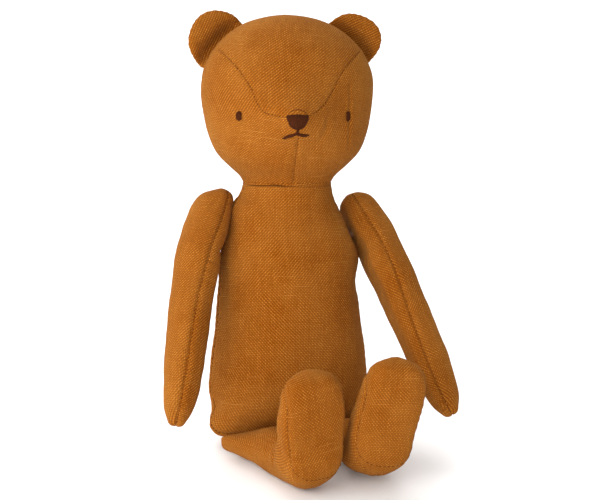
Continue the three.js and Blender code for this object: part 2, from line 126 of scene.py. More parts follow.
FOOT_CORNER = {"left": 1.5, "right": 0.9}  # pulled in beside the toes
HEEL_BULGE = {"left": 3.4, "right": 0}
HEEL_HOLLOW = {"left": 0, "right": 1.8}
HEEL_LIFT = {"left": 2.9, "right": 0}
HEEL_CLEARANCE = {"left": 2.0, "right": 0}  # of the sole's lowest part, over the floor
TOE_TOP = 36.5  # above this height, the upper of a foot faces up
HIP_TUCK = 3  # of each leg's outer corner, back to the torso's curve


# ---- Camera, light and floor ----
def look_from(azimuth, elevation, target, distance):
    a, e = math.radians(azimuth), math.radians(elevation)
    back = Vector((math.sin(a) * math.cos(e), -math.cos(a) * math.cos(e), math.sin(e)))
    return Vector(target) + back * distance, back.to_track_quat("Z", "Y")


def area_light(name, azimuth, elevation, distance, size, power, colour):
    """A soft square light aimed at the bear, placed by degrees and metres."""
    light = bpy.data.lights.new(name, "AREA")
    light.energy, light.size, light.color = power, size, colour
    lamp = bpy.data.objects.new(name, light)
    lamp.rotation_mode = "QUATERNION"
    lamp.location, lamp.rotation_quaternion = look_from(azimuth, elevation, TARGET, distance)
    SCENE.collection.objects.link(lamp)


TARGET = (0.000875, -0.006392, 0.08069)
camera = bpy.data.objects.new("camera", bpy.data.cameras.new("camera"))
SCENE.collection.objects.link(camera)
SCENE.camera = camera
camera.data.sensor_width, camera.data.lens = 36, 139.98
camera.data.clip_start, camera.data.clip_end = 0.01, 20
camera.rotation_mode = "QUATERNION"
camera.location, camera.rotation_quaternion = look_from(-16.25, 15.75, TARGET, 0.9)

area_light("key", -60, 23, 0.9, 0.9, 5.5, (1, 0.99, 0.95))
area_light("side", -108, 8, 0.9, 0.9, 4.0, (1, 0.99, 0.95))
area_light("fill", -24, 7, 0.6, 0.6, 3.8, (1, 0.99, 0.97))
area_light("top", 170, 76, 0.9, 0.8, 1.6, (1, 1, 1))
area_light("sweep", 180, 42, 2.4, 3.0, 80, (1, 1, 1))

world = bpy.data.worlds.new("studio")
SCENE.world = world
world.use_nodes = True
background = world.node_tree.nodes["Background"].inputs
background["Color"].default_value = (1, 1, 1, 1)
background["Strength"].default_value = 0.4
SCENE.view_settings.view_transform = "Standard"


# ---- Node materials ----
class Nodes:
    """Short calls for building a material's node tree."""

    def __init__(self, name, **shader):
        self.material = bpy.data.materials.new(name)
        self.material.use_nodes = True
        self.tree = self.material.node_tree
        self.shader = self.tree.nodes["Principled BSDF"]
        for socket, value in shader.items():
            self.shader.inputs[socket.replace("_", " ")].default_value = value

    def add(self, kind, inputs=(), **settings):
        node = self.tree.nodes.new(kind)
        for key, value in settings.items():
            setattr(node, key, value)
        for key, value in dict(inputs).items():
            self.feed(node.inputs[key], value)
        return node

    def feed(self, socket, value):
        if isinstance(value, bpy.types.NodeSocket):
            self.tree.links.new(value, socket)
        else:
            socket.default_value = value

    def math(self, operation, *values):
        return self.add("ShaderNodeMath", dict(enumerate(values)), operation=operation).outputs[0]

    def times(self, first, second):
        return self.math("MULTIPLY", first, second)

    def vector(self, x, y, z):
        return self.add("ShaderNodeCombineXYZ", {"X": x, "Y": y, "Z": z}).outputs[0]

    def noise(self, vector, scale, detail=2.0, roughness=0.5):
        inputs = {"Vector": vector, "Scale": scale, "Detail": detail, "Roughness": roughness}
        return self.add("ShaderNodeTexNoise", inputs).outputs["Fac"]

    def remap(self, value, low, high, to_low=0.0, to_high=1.0):
        inputs = {"Value": value, "From Min": low, "From Max": high, "To Min": to_low, "To Max": to_high}
        return self.add("ShaderNodeMapRange", inputs).outputs[0]

    def mix(self, factor, first, second):
        return self.add("ShaderNodeMix", {0: factor, 6: first, 7: second}, data_type="RGBA").outputs[2]

    def blend(self, factor, first, second):
        return self.add("ShaderNodeMix", {0: factor, 2: first, 3: second}, data_type="FLOAT").outputs[0]

    def own_number(self, first, second):
        inputs = {"Vector": self.vector(first, second, 0.0)}
        return self.add("ShaderNodeTexWhiteNoise", inputs, noise_dimensions="2D").outputs["Value"]

    def attribute(self, name, output):
        return self.add("ShaderNodeAttribute", attribute_name=name).outputs[output]

    def cloth_place(self):
        spot = self.attribute("cloth", "Vector")
        return self.add("ShaderNodeSeparateXYZ", {"Vector": spot}).outputs

    def surface(self, colour, height, distance, strength):
        """The finished material, given its colour and relief."""
        relief = {"Height": height, "Distance": distance, "Strength": strength}
        self.feed(self.shader.inputs["Base Color"], colour)
        self.feed(self.shader.inputs["Normal"], self.add("ShaderNodeBump", relief).outputs[0])
        return self.material


def srgb(r, g, b):
    return tuple(((c / 255 + 0.055) / 1.055) ** 2.4 if c > 10 else c / 3294 for c in (r, g, b)) + (1,)


THREAD_PITCH = (0.64 * MM, 0.68 * MM)  # of the warp across and of the weft up the cloth
THREAD_WANDER = 0.9 * MM
PANEL_STEP = 7.0  # between one panel's number and the next in the cloth attribute


def linen(name, colour, light_colour, dark_colour):
    """Plain-weave linen. Its threads follow the cloth attribute, which holds each panel's own grain; lean
    says which of the weave's two diagonals stands out, and seam where the cloth is sewn, where its colour
    is darkened as painted shade in the seam's groove."""
    n = Nodes(name, Roughness=1.0, Sheen_Weight=0.1, Sheen_Roughness=0.5, Specular_IOR_Level=0.03)
    n.shader.inputs["Sheen Tint"].default_value = (1, 0.72, 0.26, 1)
    n.shader.inputs["Specular Tint"].default_value = (1, 0.72, 0.35, 1)
    u, v, panel = n.cloth_place()

    def wandering(place, spot, scale):
        shift = n.math("SUBTRACT", n.noise(spot, scale, 1.0), 0.5)
        return n.math("ADD", place, n.times(shift, THREAD_WANDER))

    def wave(cells, kind="SINE"):
        return n.math(kind, n.times(cells, math.pi))

    def thread_tone(number, length, seed):
        spot = n.vector(n.times(number, 90.0), n.times(length, 90.0), seed)
        return n.noise(spot, 1.0)

    here = n.vector(u, v, panel)
    warp = n.math("DIVIDE", wandering(u, here, 130.0), THREAD_PITCH[0])
    weft = n.math("DIVIDE", wandering(v, n.vector(v, u, panel), 110.0), THREAD_PITCH[1])
    along = wave(weft)
    crossing = n.times(wave(warp), along)
    crown = n.math("POWER", n.math("ABSOLUTE", crossing), 0.6)
    warp_on_top = n.remap(crossing, -0.3, 0.3)
    rising = wave(n.math("SUBTRACT", warp, weft), "COSINE")
    falling = wave(n.math("ADD", warp, n.math("SUBTRACT", weft, 1.0)), "COSINE")
    patch = n.math("SUBTRACT", n.noise(here, 60.0, 1.0), 0.5)
    lean = n.math("ADD", n.attribute("lean", "Fac"), patch)
    slant = n.blend(n.remap(lean, 0.35, 0.65), rising, falling)
    warp_number = n.own_number(n.math("FLOOR", warp), panel)
    weft_number = n.own_number(n.math("FLOOR", weft), n.math("ADD", panel, 5.0))
    own_cell = n.own_number(n.math("ADD", n.math("FLOOR", warp), panel), n.math("FLOOR", weft))
    tone = n.blend(warp_on_top, thread_tone(weft_number, u, 4.1), thread_tone(warp_number, v, 1.7))
    slub_place = n.vector(n.times(weft_number, 50.0), n.times(u, 75.0), panel)
    fine_line = n.math("POWER", n.math("ABSOLUTE", along), 1.5)
    slubby = n.remap(n.noise(n.vector(u, v, n.math("ADD", panel, 2.3)), 38.0, 1.0), 0.42, 0.66)
    slub = n.remap(n.noise(slub_place, 1.0, 0.0), 0.6, 0.76)
    slub = n.times(n.times(fine_line, slubby), slub)
    blotch = n.noise(here, 45.0, 3.0, 0.6)
    colour_now = n.mix(n.remap(tone, 0.3, 0.7), dark_colour, light_colour)
    for share, over in (
        (0.6, colour),
        (n.times(own_cell, 0.42), dark_colour),
        (n.remap(slant, 1.0, -1.0), dark_colour),
        (n.remap(blotch, 0.35, 0.75, 0.0, 0.16), light_colour),
        (n.times(warp_on_top, 0.3), dark_colour),
        (n.remap(crown, 0.1, 0.85, 0.85, 0.0), dark_colour),  # the gaps between threads
        (n.times(slub, 0.14), light_colour),
        # painted shade: the cloth darker in the seam grooves and along the neck line
        (n.times(n.attribute("seam", "Fac"), 0.3), dark_colour),
    ):
        colour_now = n.mix(share, colour_now, over)
    height = n.math("ADD", n.times(crown, 0.8), n.times(slub, 0.6))
    height = n.math("ADD", height, n.times(tone, 0.5))
    return n.surface(colour_now, height, 0.2 * MM, 0.9)


def embroidery(name, colour, light_colour):
    """Twisted cotton thread: its plies turn round each strand."""
    n = Nodes(name, Roughness=0.72, Sheen_Weight=0.0, Specular_IOR_Level=0.07)
    n.shader.inputs["Specular Tint"].default_value = (1, 0.7, 0.45, 1)
    along, around, strand = n.cloth_place()
    turns = n.math("ADD", n.math("DIVIDE", along, 0.7 * MM), around)
    ply = n.math("ABSOLUTE", n.math("SINE", n.times(turns, TAU)))
    fibre = n.noise(n.vector(along, around, strand), 900.0, 3.0)
    colour_now = n.mix(n.times(ply, fibre), colour, light_colour)
    return n.surface(colour_now, n.math("ADD", ply, fibre), 0.08 * MM, 0.7)


def speckled(name, colour, other, scale, roughness, depth):
    """Fine grain for the joints' plastic, and for the floor."""
    n = Nodes(name, Roughness=roughness)
    place = n.add("ShaderNodeTexCoord").outputs["Object"]
    grain = n.noise(place, scale, 4.0, 0.6)
    return n.surface(n.mix(n.remap(grain, 0.3, 0.7), colour, other), grain, depth, 0.4)


LINEN = linen("linen", srgb(216, 129, 35), srgb(250, 180, 86), srgb(108, 51, 5))
THREAD = embroidery("embroidery thread", srgb(42, 17, 7), srgb(94, 47, 24))
STITCH = embroidery("seam thread", srgb(64, 26, 6), srgb(104, 50, 14))
PLASTIC = speckled("joint plastic", srgb(96, 60, 32), srgb(112, 72, 40), 2500.0, 0.42, 0.02 * MM)
FLOOR = speckled("floor", (0.93, 0.93, 0.93, 1), (0.95, 0.95, 0.95, 1), 60.0, 0.7, 0.05 * MM)


# ---- Curves and surfaces, worked in millimetres ----
def through(xs, ys, at):
    """Smooth curve through points, by cubic pieces."""
    xs, ys, at = np.asarray(xs, float), np.asarray(ys, float), np.asarray(at, float)
    step = np.diff(xs)
    slope = np.diff(ys) / step
    tangent = np.empty(len(xs))
    tangent[1:-1] = (step[:-1] * slope[1:] + step[1:] * slope[:-1]) / (step[:-1] + step[1:])
    tangent[0], tangent[-1] = slope[0], slope[-1]
    k = np.clip(np.searchsorted(xs, at, side="right") - 1, 0, len(step) - 1)
    t, h = (at - xs[k]) / step[k], step[k]
    first = (2 * t ** 3 - 3 * t ** 2 + 1) * ys[k] + (t ** 3 - 2 * t ** 2 + t) * h * tangent[k]
    return first + (-2 * t ** 3 + 3 * t ** 2) * ys[k + 1] + (t ** 3 - t ** 2) * h * tangent[k + 1]


def blurred(values, width):
    """Rows of values, evened out along the first axis over a width in rows; the ends stay."""
    reach = int(3 * width)
    weights = np.exp(-0.5 * (np.arange(-reach, reach + 1) / width) ** 2)
    weights /= weights.sum()
    first, last = values[:1], values[-1:]
    padded = np.vstack([2 * first - values[reach:0:-1], values, 2 * last - values[-2:-reach - 2:-1]])
    return np.stack([np.convolve(padded[:, k], weights, "valid") for k in range(values.shape[1])], 1)


def length_along(line):
    """How far along a line each of its points is."""
    return np.concatenate([[0], np.cumsum(np.linalg.norm(np.diff(line, axis=0), axis=1))])


def profile(table, reach, step, width):
    """Sections at even steps along the table's own length. reach gives the length's two columns."""
    table = np.array(table, float)
    length = length_along(table[:, reach])
    fine = np.linspace(0, length[-1], int(length[-1] / step))
    rows = np.stack([through(length, table[:, k], fine) for k in range(table.shape[1])], 1)
    return blurred(rows, width) if width else rows


def spread(count, dense=(), width=0.12, gain=2.5):
    """Angles round a ring, closer together near some of them."""
    fine = np.linspace(0, TAU, 4001)
    weight = np.ones_like(fine)
    for angle in dense:
        away = np.abs((fine - angle + math.pi) % TAU - math.pi)
        weight += gain * np.exp(-(away / width) ** 2)
    total = np.concatenate([[0], np.cumsum((weight[1:] + weight[:-1]) / 2)])
    return np.interp(np.arange(count) / count * total[-1], total, fine)


def turn(axis, angle):
    c, s = math.cos(angle), math.sin(angle)
    return np.array({
        "x": [[1, 0, 0], [0, c, -s], [0, s, c]],
        "y": [[c, 0, s], [0, 1, 0], [-s, 0, c]],
        "z": [[c, -s, 0], [s, c, 0], [0, 0, 1]],
    }[axis])


def tree_of(points):
    tree = kdtree.KDTree(len(points))
    for i, q in enumerate(points):
        tree.insert(Vector(q), i)
    tree.balance()
    return tree


class Skin:
    """A closed skin over a grid of points p: rings one above the other, each going round.
    seam says how near each point is to a seam, which the linen darkens as painted shade, and lean which
    diagonal of the weave stands out there."""

    def __init__(self, points):
        self.p = points
        self.seam = np.zeros(points.shape[:2])
        self.lean = np.zeros(points.shape[:2])

    def normals(self):
        round_it = np.roll(self.p, -1, 1) - np.roll(self.p, 1, 1)
        up_it = np.empty_like(self.p)
        up_it[1:-1] = self.p[2:] - self.p[:-2]
        up_it[0], up_it[-1] = self.p[1] - self.p[0], self.p[-1] - self.p[-2]
        normal = np.cross(round_it, up_it)
        return normal / np.maximum(np.linalg.norm(normal, axis=2, keepdims=True), 1e-9)

    def push(self, amount):
        self.p = self.p + self.normals() * amount[..., None]

    def bump(self, *bumps):
        """Soft bumps, each with its centre, size and height; a dent's height is below zero."""
        self.push(sum(
            height * np.exp(-np.linalg.norm((self.p - centre) / size, axis=2) ** 2)
            for centre, size, height in bumps
        ))

    def lumps(self, depth, size, seed):
        flat = self.p.reshape(-1, 3) / size + seed
        self.push(depth * np.array([noise.noise(Vector(q)) for q in flat]).reshape(self.p.shape[:2]))

    def near(self, line, reach):
        """Distance of each point from a line, and the line's nearest point; 99 and the first if it is far."""
        tree = tree_of(line)
        low, high = line.min(0) - reach, line.max(0) + reach
        away, nearest = np.full(self.p.shape[:2], 99.0), np.zeros(self.p.shape[:2], int)
        for i, j in zip(*np.nonzero(((self.p > low) & (self.p < high)).all(2))):
            _, nearest[i, j], away[i, j] = tree.find(Vector(self.p[i, j]))
        return away, nearest

    def sew(self, line, depth, width, swell, pucker, pitch=3.4):
        """Pulls the cloth in along a seam, with a soft swell beside it and small puckers across it."""
        away, nearest = self.near(line, 9)
        along = length_along(line)[nearest]
        wave = np.sin(TAU * along / pitch + 1.3 * np.sin(along * 0.37)) * np.exp(-(away / 2.6) ** 2)
        shift = swell * np.exp(-((away - 2.2) / 1.7) ** 2) + pucker * wave * (away > 0.2)
        self.push(shift - depth * np.exp(-(away / width) ** 2))
        # the band in the seam's groove, where the linen paints shade into its colour
        self.seam = np.maximum(self.seam, np.exp(-(away / (0.8 * width)) ** 2))

    def crease(self, line, depth, width):
        """A crease along a line, with a low ridge beside it. It fades out at both ends."""
        away, nearest = self.near(line, 4 * width)
        fade = 1 - np.linspace(-1, 1, len(line)) ** 2
        strength = np.where(away < 4 * width, fade[nearest], 0)
        ridge = 0.35 * np.exp(-((away - 2 * width) / width) ** 2)
        self.push(strength * depth * (ridge - np.exp(-(away / width) ** 2)))

    def at_angle(self, angles, angle):
        """The line down the skin at one angle, or at an angle for each ring."""
        angle = np.broadcast_to(angle, len(self.p)) % TAU
        wrapped = np.concatenate([angles, [angles[0] + TAU]])
        k = np.searchsorted(wrapped, angle, side="right") - 1
        t = ((angle - wrapped[k]) / (wrapped[k + 1] - wrapped[k]))[:, None]
        rows = np.arange(len(self.p))
        return self.p[rows, k] * (1 - t) + self.p[rows, (k + 1) % self.p.shape[1]] * t

    def crossing(self, level):
        """Places on the rings where a value given for each point passes through zero."""
        after = np.roll(level, -1, 1)
        i, j = np.nonzero(level * after < 0)
        t = (level[i, j] / (level[i, j] - after[i, j]))[:, None]
        return self.p[i, j] * (1 - t) + self.p[i, (j + 1) % self.p.shape[1]] * t


def evenly(line, step=0.2):
    """The same line with points at even steps."""
    length = length_along(line)
    keep = np.concatenate([[True], np.diff(length) > 1e-6])
    fine = np.linspace(0, length[-1], max(int(length[-1] / step), 3))
    return np.stack([np.interp(fine, length[keep], line[keep, k]) for k in range(3)], 1)


def flowing(points, step=0.2):
    """Smooth line through a few points."""
    points = np.array(points, float)
    length = length_along(points)
    fine = np.linspace(0, length[-1], max(int(length[-1] / step), 3))
    return np.stack([through(length, points[:, k], fine) for k in range(3)], 1)


# ---- Objects ----
def new_piece(name, points, faces, place, material, body, nodes):
    """Makes a mesh at a place, which is its turn and its origin in metres."""
    matrix, origin = place
    mesh = bpy.data.meshes.new(name)
    mesh.from_pydata((points @ matrix.T * MM + origin).tolist(), [], faces)
    mesh.update()
    mesh.shade_smooth()
    mesh.materials.append(material)
    piece = bpy.data.objects.new(name, mesh)
    SCENE.collection.objects.link(piece)
    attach(piece, body)
    if nodes:
        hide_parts(*nodes)
    return piece


def values_of(collection, key, size, kind=float):
    """Values of a mesh's collection, one row for each of its items."""
    values = np.empty(len(collection) * size, kind)
    collection.foreach_get(key, values)
    return values.reshape(-1, size)


def corner_values(piece, name, values, kind="FLOAT_VECTOR"):
    layer = piece.data.attributes.new(name, kind, "CORNER")
    layer.data.foreach_set("vector" if kind == "FLOAT_VECTOR" else "value", np.ravel(values))


def skin_piece(name, skin, panels, place, body, nodes):
    """Makes a skin's mesh. For each face corner, panels takes its face's middle, the lengths round each
    ring and the corner's ring, and gives the panel's number, the length round the ring at the panel's
    middle, and the turn of its grain."""
    rows, columns = skin.p.shape[:2]
    flat = skin.p.reshape(-1, 3)
    i, j = np.meshgrid(np.arange(rows - 1), np.arange(columns), indexing="ij")
    a, b = i * columns + j, i * columns + (j + 1) % columns
    quads = np.stack([a, b, b + columns, a + columns], -1).reshape(-1, 4)
    low, high = len(flat), len(flat) + 1
    top = (rows - 1) * columns
    caps = [(low, (k + 1) % columns, k) for k in range(columns)]
    caps += [(high, top + k, top + (k + 1) % columns) for k in range(columns)]
    points = np.vstack([flat, skin.p[0].mean(0), skin.p[-1].mean(0)])
    loops = np.concatenate([quads.ravel(), np.array(caps).ravel()])
    middles = np.concatenate([
        np.repeat(points[quads].mean(1), 4, 0), np.repeat(points[np.array(caps)].mean(1), 3, 0),
    ])
    step_round = np.linalg.norm(np.roll(skin.p, -1, 1) - skin.p, axis=2)
    round_it = np.hstack([np.zeros((rows, 1)), np.cumsum(step_round, 1)])
    up_it = np.concatenate([[0], np.cumsum(np.linalg.norm(np.diff(skin.p, axis=0), axis=2).mean(1))])
    corner_column = np.concatenate([np.stack([j, j + 1, j + 1, j], -1).ravel(), np.zeros(6 * columns, int)])
    corner_row = np.concatenate([
        np.stack([i, i, i + 1, i + 1], -1).ravel(), np.repeat([0, rows - 1], 3 * columns),
    ])
    panel, centre, grain = panels(middles, round_it, corner_row)
    u, v = round_it[corner_row, corner_column] - centre, up_it[corner_row]
    cloth = np.stack([
        (u * np.cos(grain) - v * np.sin(grain)) * MM,
        (u * np.sin(grain) + v * np.cos(grain)) * MM,
        PANEL_STEP * panel,
    ], 1)
    piece = new_piece(name, points, quads.tolist() + caps, place, LINEN, body, nodes)
    corner_values(piece, "cloth", cloth)
    for layer, values in (("seam", skin.seam), ("lean", skin.lean)):
        corner_values(piece, layer, np.append(values, [0, 0])[loops], "FLOAT")
    return piece


def strand(line, radius, sides=6):
    """A thread along a line, tapered at both ends: points, faces and cloth values per point."""
    line = np.asarray(line, float)
    ahead = np.gradient(line, axis=0)
    ahead /= np.linalg.norm(ahead, axis=1, keepdims=True)
    side = np.cross(ahead, [0.31, 0.22, 0.92])
    side /= np.linalg.norm(side, axis=1, keepdims=True)
    other = np.cross(ahead, side)
    share = np.linspace(0, 1, len(line))
    size = radius * np.sqrt(np.clip(1 - (2 * share - 1) ** 6, 0.02, 1))
    angle = np.arange(sides) / sides * TAU
    ring = np.cos(angle)[:, None] * side[:, None] + np.sin(angle)[:, None] * other[:, None]
    points = (line[:, None] + ring * size[:, None, None]).reshape(-1, 3)
    count = len(line)
    faces = [
        (r * sides + k, r * sides + (k + 1) % sides, (r + 1) * sides + (k + 1) % sides, (r + 1) * sides + k)
        for r in range(count - 1) for k in range(sides)
    ]
    faces += [tuple(range(sides))[::-1], tuple(range((count - 1) * sides, count * sides))]
    length = length_along(line)
    values = np.stack([np.repeat(length, sides), np.tile(angle / TAU, count)], 1)
    return points, faces, values


def thread_piece(name, strands, place, body, nodes=(), material=STITCH):
    points, faces, values, base = [], [], [], 0
    for k, (p, f, c) in enumerate(strands):
        points.append(p)
        faces += [tuple(i + base for i in face) for face in f]
        values.append(np.column_stack([c[:, 0] * MM, c[:, 1], np.full(len(c), 0.37 * k)]))
        base += len(p)
    piece = new_piece(name, np.vstack(points), faces, place, material, body, nodes)
    loops = values_of(piece.data.loops, "vertex_index", 1, int)[:, 0]
    corner_values(piece, "cloth", np.vstack(values)[loops])
    return piece


def stitches(skin, line, pitch=1.6, length=1.0, radius=0.17, aside=0.28, sink=0.05, skip=lambda q: False):
    """Short stitches that show along a seam, a little to one side of it."""
    flat, normals = skin.p.reshape(-1, 3), skin.normals().reshape(-1, 3)
    tree = tree_of(flat)
    line = evenly(line, 0.1)
    made = []
    for start in np.arange(4, len(line) - length / 0.1 - 4, pitch / 0.1).astype(int):
        piece = line[start:start + int(length / 0.1) + 1:2]
        if skip(piece.mean(0)):
            continue
        ahead = piece[-1] - piece[0]
        ahead /= np.linalg.norm(ahead)
        laid = []
        for q in piece:
            normal = normals[tree.find(Vector(q))[1]]
            beside = q + np.cross(normal, ahead) * aside
            k = tree.find(Vector(beside))[1]
            laid.append(beside + normals[k] * (np.dot(flat[k] - beside, normals[k]) - sink))
        made.append(strand(laid, radius, 5))
    return made


# ---- Frames of the bodies ----
TRUNK = turn("y", SIDE_LEAN) @ turn("x", -LEAN)
TRUNK_PLACE = (TRUNK, JOINTS["head_turn"] - TRUNK @ [0, 0, TORSO_HEIGHT * MM])
HEAD_PLACE = (TRUNK @ turn("z", HEAD_TURN), JOINTS["head_turn"])


def column_at(angles, angle):
    return int(np.argmin(np.abs((angles - angle + math.pi) % TAU - math.pi)))


def lift(level, softness):
    """How far to raise points at these levels so that none is below zero; softness rounds the corner."""
    return (np.sqrt(level ** 2 + softness) - level) / 2


def round_rings(*sizes):
    """Rows of sections for round rings given by height and radius."""
    return [(height, radius, radius, radius) for height, radius in sizes]


def ring_points(rows, angles):
    """Points round each section of height, half width, and reach to the front and to the back."""
    height, half, front, back = rows.T
    c, s = np.cos(angles), np.sin(angles)
    reach = np.where(s < 0, front[:, None], back[:, None])
    return np.stack([half[:, None] * c, reach * s, np.repeat(height[:, None], len(angles), 1)], 2)


# ---- Torso ----
def torso():
    """The pillow-like torso, with one seam round its sides and bottom and one down its back."""
    rim = round_rings((99.8, 17.4), (99.95, 17.25), (99.97, 16.6), (99.97, 8), (99.97, 1))
    rows = np.vstack([profile(TORSO_SECTIONS, [0, 1], 0.6, 2.5), rim])
    height, front = rows[:, 0], rows[:, 2]
    seam_y = np.interp(height, *zip(*TORSO_SEAM))
    angles = spread(230, (0, math.pi, math.pi / 2))
    skin = Skin(ring_points(rows, angles))
    for _, side in SIDES:
        lower_corner = (side * 30.5, -3, 4.5), (7, 8, 4.5), 2.4
        above_it = (side * 31.5, -1, 12.5), (6, 9, 4.5), -2.2
        skin.bump(lower_corner, above_it)
        at_arm_joint = (side * 26.2, 0, 80), 8, -1.2
        skin.bump(at_arm_joint)
    left_half = np.clip(skin.p[..., 0] / 12, -1, 1) / 2 + 0.5
    skin.p[..., 0] += (0.3 + 1.2 * left_half) * np.exp(-((skin.p[..., 2] - 42) / 30) ** 4)
    for level, width, out in ((73, 6.5, 2.2), (60, 7.5, -1.1)):
        away = (skin.p[..., 2] - level) / width
        skin.p[..., 0] += out * left_half * np.exp(-away ** 2) * np.cos(angles) ** 2
    right_shoulder = (-21, 0, 91), (7, 12, 5), 2.0
    skin.bump(right_shoulder)
    skin.lumps(0.45, 17, 3.1)
    skin.lumps(0.16, 6, 9.4)
    ratio = seam_y / np.maximum(front, 0.1)
    shown = (ratio > -0.995) & (height > 1.5) & (height < 99)
    dip = np.arcsin(np.clip(ratio, -1, 0))
    left = skin.at_angle(angles, dip)[shown]
    right = skin.at_angle(angles, math.pi - dip)[shown]
    seam = evenly(np.vstack([left[::-1], right]))
    middle = evenly(skin.at_angle(angles, math.pi / 2)[(height > 1) & (height < 99)])
    skin.sew(seam, 0.8, 0.45, 0.35, 0.16)
    skin.sew(middle, 0.6, 0.5, 0.2, 0.1)
    up = TRUNK.T @ [0, 0, 1]
    level = skin.p @ up + TRUNK_PLACE[1][2] / MM
    skin.p = skin.p + lift(level, 0.8)[..., None] * up
    skin.lean = np.clip((72 - skin.p[..., 2]) / 24, 0, 1)
    front_middle, back_middle = column_at(angles, 1.5 * math.pi), column_at(angles, math.pi / 2)

    def panels(points, round_it, row):
        is_back = points[:, 1] > np.interp(points[:, 2], *zip(*TORSO_SEAM))
        centre = round_it[row, np.where(is_back, back_middle, front_middle)]
        return is_back + 1, centre, np.where(is_back, 0.03, 0.0)

    nodes = ["torso_front", "torso_back_left", "torso_back_right", "torso_stuffing"]
    skin_piece("torso_cloth", skin, panels, TRUNK_PLACE, "torso", nodes)
    sewn = stitches(skin, seam, aside=0.3, skip=lambda q: q[2] > 96) + stitches(skin, middle, aside=0.0)
    thread_piece("torso_seam_stitches", sewn, TRUNK_PLACE, "torso")


# ---- Head ----
def head():
    """The head, with its seams, embroidered face and ears."""
    rim = round_rings((0.03, 1), (0.03, 8), (0.03, 16.6), (0.05, 17.25), (0.3, 17.45))
    rows = np.vstack([rim, profile(HEAD_SECTIONS, [0, 1], 0.5, 3.0)])
    height = rows[:, 0]
    angles = spread(320, (1.5 * math.pi,), 1.3, 1.2)
    points = ring_points(rows, angles)
    out, level, wide, tall = MUZZLE
    muzzle = out * np.exp(-(points[..., 0] / wide) ** 2 - ((points[..., 2] - level) / tall) ** 2)
    points[..., 1] -= np.where(np.sin(angles) < 0, muzzle, 0)
    skin = Skin(points)
    skin.lumps(0.5, 19, 5.7)
    skin.lumps(0.15, 7, 1.9)

    fronts = np.nonzero(np.sin(angles) <= 0)[0]
    first = len(rim) - 1

    def on_face(x, z):
        """Points of the front surface, for places seen from the front."""
        x, z = np.broadcast_arrays(np.asarray(x, float), np.asarray(z, float))
        place = np.interp(z, height[first:], np.arange(first, len(height)))
        row = np.clip(place.astype(int), 0, len(height) - 2)
        found = []
        for xi, ri, ti in zip(x, row, place - row):
            ring = skin.p[ri, fronts] * (1 - ti) + skin.p[ri + 1, fronts] * ti
            ring = ring[np.argsort(ring[:, 0])]
            found.append([np.interp(xi, ring[:, 0], ring[:, k]) for k in range(3)])
        return np.array(found)

    halves = []
    for name, side in SIDES:
        outline = flowing([(px, 0, pz) for px, pz in FOREHEAD_OUTLINE[name]], 0.25)
        outline = outline[outline[:, 0] < 27.8]
        halves.append(on_face(side * outline[:, 0], outline[:, 2]))
    forehead_seam = evenly(blurred(np.vstack([halves[1][::-1], halves[0][1:]]), 3.0))
    chin = evenly(on_face(np.linspace(0.7, 0.5, 80), np.linspace(20.4, 1.3, 80)))
    arch = skin.crossing(skin.p[..., 1] - EAR_SEAM_Y)
    arch = evenly(arch[np.argsort(np.arctan2(arch[:, 0], arch[:, 2] - 30))])
    nape = evenly(skin.at_angle(angles, math.pi / 2)[(height > 1.3) & (height < 66)])
    for side in (-1, 1):
        skin.bump((on_face([side * EYE_X], [EYE_Z - 0.4])[0], (1.8, 3, 2.8), -0.45))
    skin.crease(evenly(on_face(EYE_X + 1, np.arange(43.0, 12, -6))), 0.5, 0.8)
    skin.crease(evenly(on_face([12.0, 12.4, 11.6, 9.8, 7.5], [28.5, 25, 21.5, 19, 18])), 0.45, 1.5)
    skin.bump((on_face([0], [26])[0], (4.5, 6, 3.4), 0.5))
    skin.sew(forehead_seam, 0.34, 0.3, 0.2, 0.1, 3.1)
    skin.sew(chin, 0.34, 0.28, 0.2, 0.08)
    skin.sew(arch, 0.6, 0.5, 0.25, 0.12)
    skin.sew(nape, 0.6, 0.5, 0.2, 0.1)
    # painted shade along the neck line, where the head meets the torso
    skin.seam = np.maximum(skin.seam, np.exp(-(skin.p[..., 2] / 0.45) ** 2))
    front_middle, back_middle = column_at(angles, 1.5 * math.pi), column_at(angles, math.pi / 2)

    def panels(points, round_it, row):
        lower_edge = np.interp(points[:, 0], forehead_seam[:, 0], forehead_seam[:, 2], left=54, right=54)
        is_back = points[:, 1] > EAR_SEAM_Y
        is_brow = ~is_back & (points[:, 2] > lower_edge)
        cheek = np.sign(points[:, 0])
        panel = np.where(is_back, 3, np.where(is_brow, 1, 2 + 0.1 * cheek))
        grain = np.where(is_brow, 0.14, np.where(is_back, 0.05, -0.1 * cheek))
        return panel, round_it[row, np.where(is_back, back_middle, front_middle)], grain

    nodes = [
        "forehead_panel", "cheek_left", "cheek_right", "head_back_left", "head_back_right", "head_stuffing",
    ]
    skin_piece("head_cloth", skin, panels, HEAD_PLACE, "head", nodes)
    neck = evenly(skin.p[np.argmin(np.abs(height - 1.2))][np.r_[0:len(angles), 0]])
    sewn = stitches(skin, forehead_seam, aside=-0.25) + stitches(skin, chin, aside=0.2)
    sewn += stitches(skin, arch, aside=0.0, skip=lambda q: q[2] > 44) + stitches(skin, nape, aside=0.0)
    sewn += stitches(skin, neck, pitch=2.0, length=1.1, radius=0.2, aside=0.0, sink=0.1)
    thread_piece("head_seam_stitches", sewn, HEAD_PLACE, "head")
    face(skin, on_face)
    for name, side in SIDES:
        ear(name, side, rows)


def laid_on(skin, line, above):
    """A line laid on a skin, or above it."""
    flat, normals = skin.p.reshape(-1, 3), skin.normals().reshape(-1, 3)
    laid = []
    for q, rise in zip(line, np.broadcast_to(above, len(line))):
        k = np.argmin(((flat - q) ** 2).sum(1))
        laid.append(q + normals[k] * (np.dot(flat[k] - q, normals[k]) + rise))
    return np.array(laid)


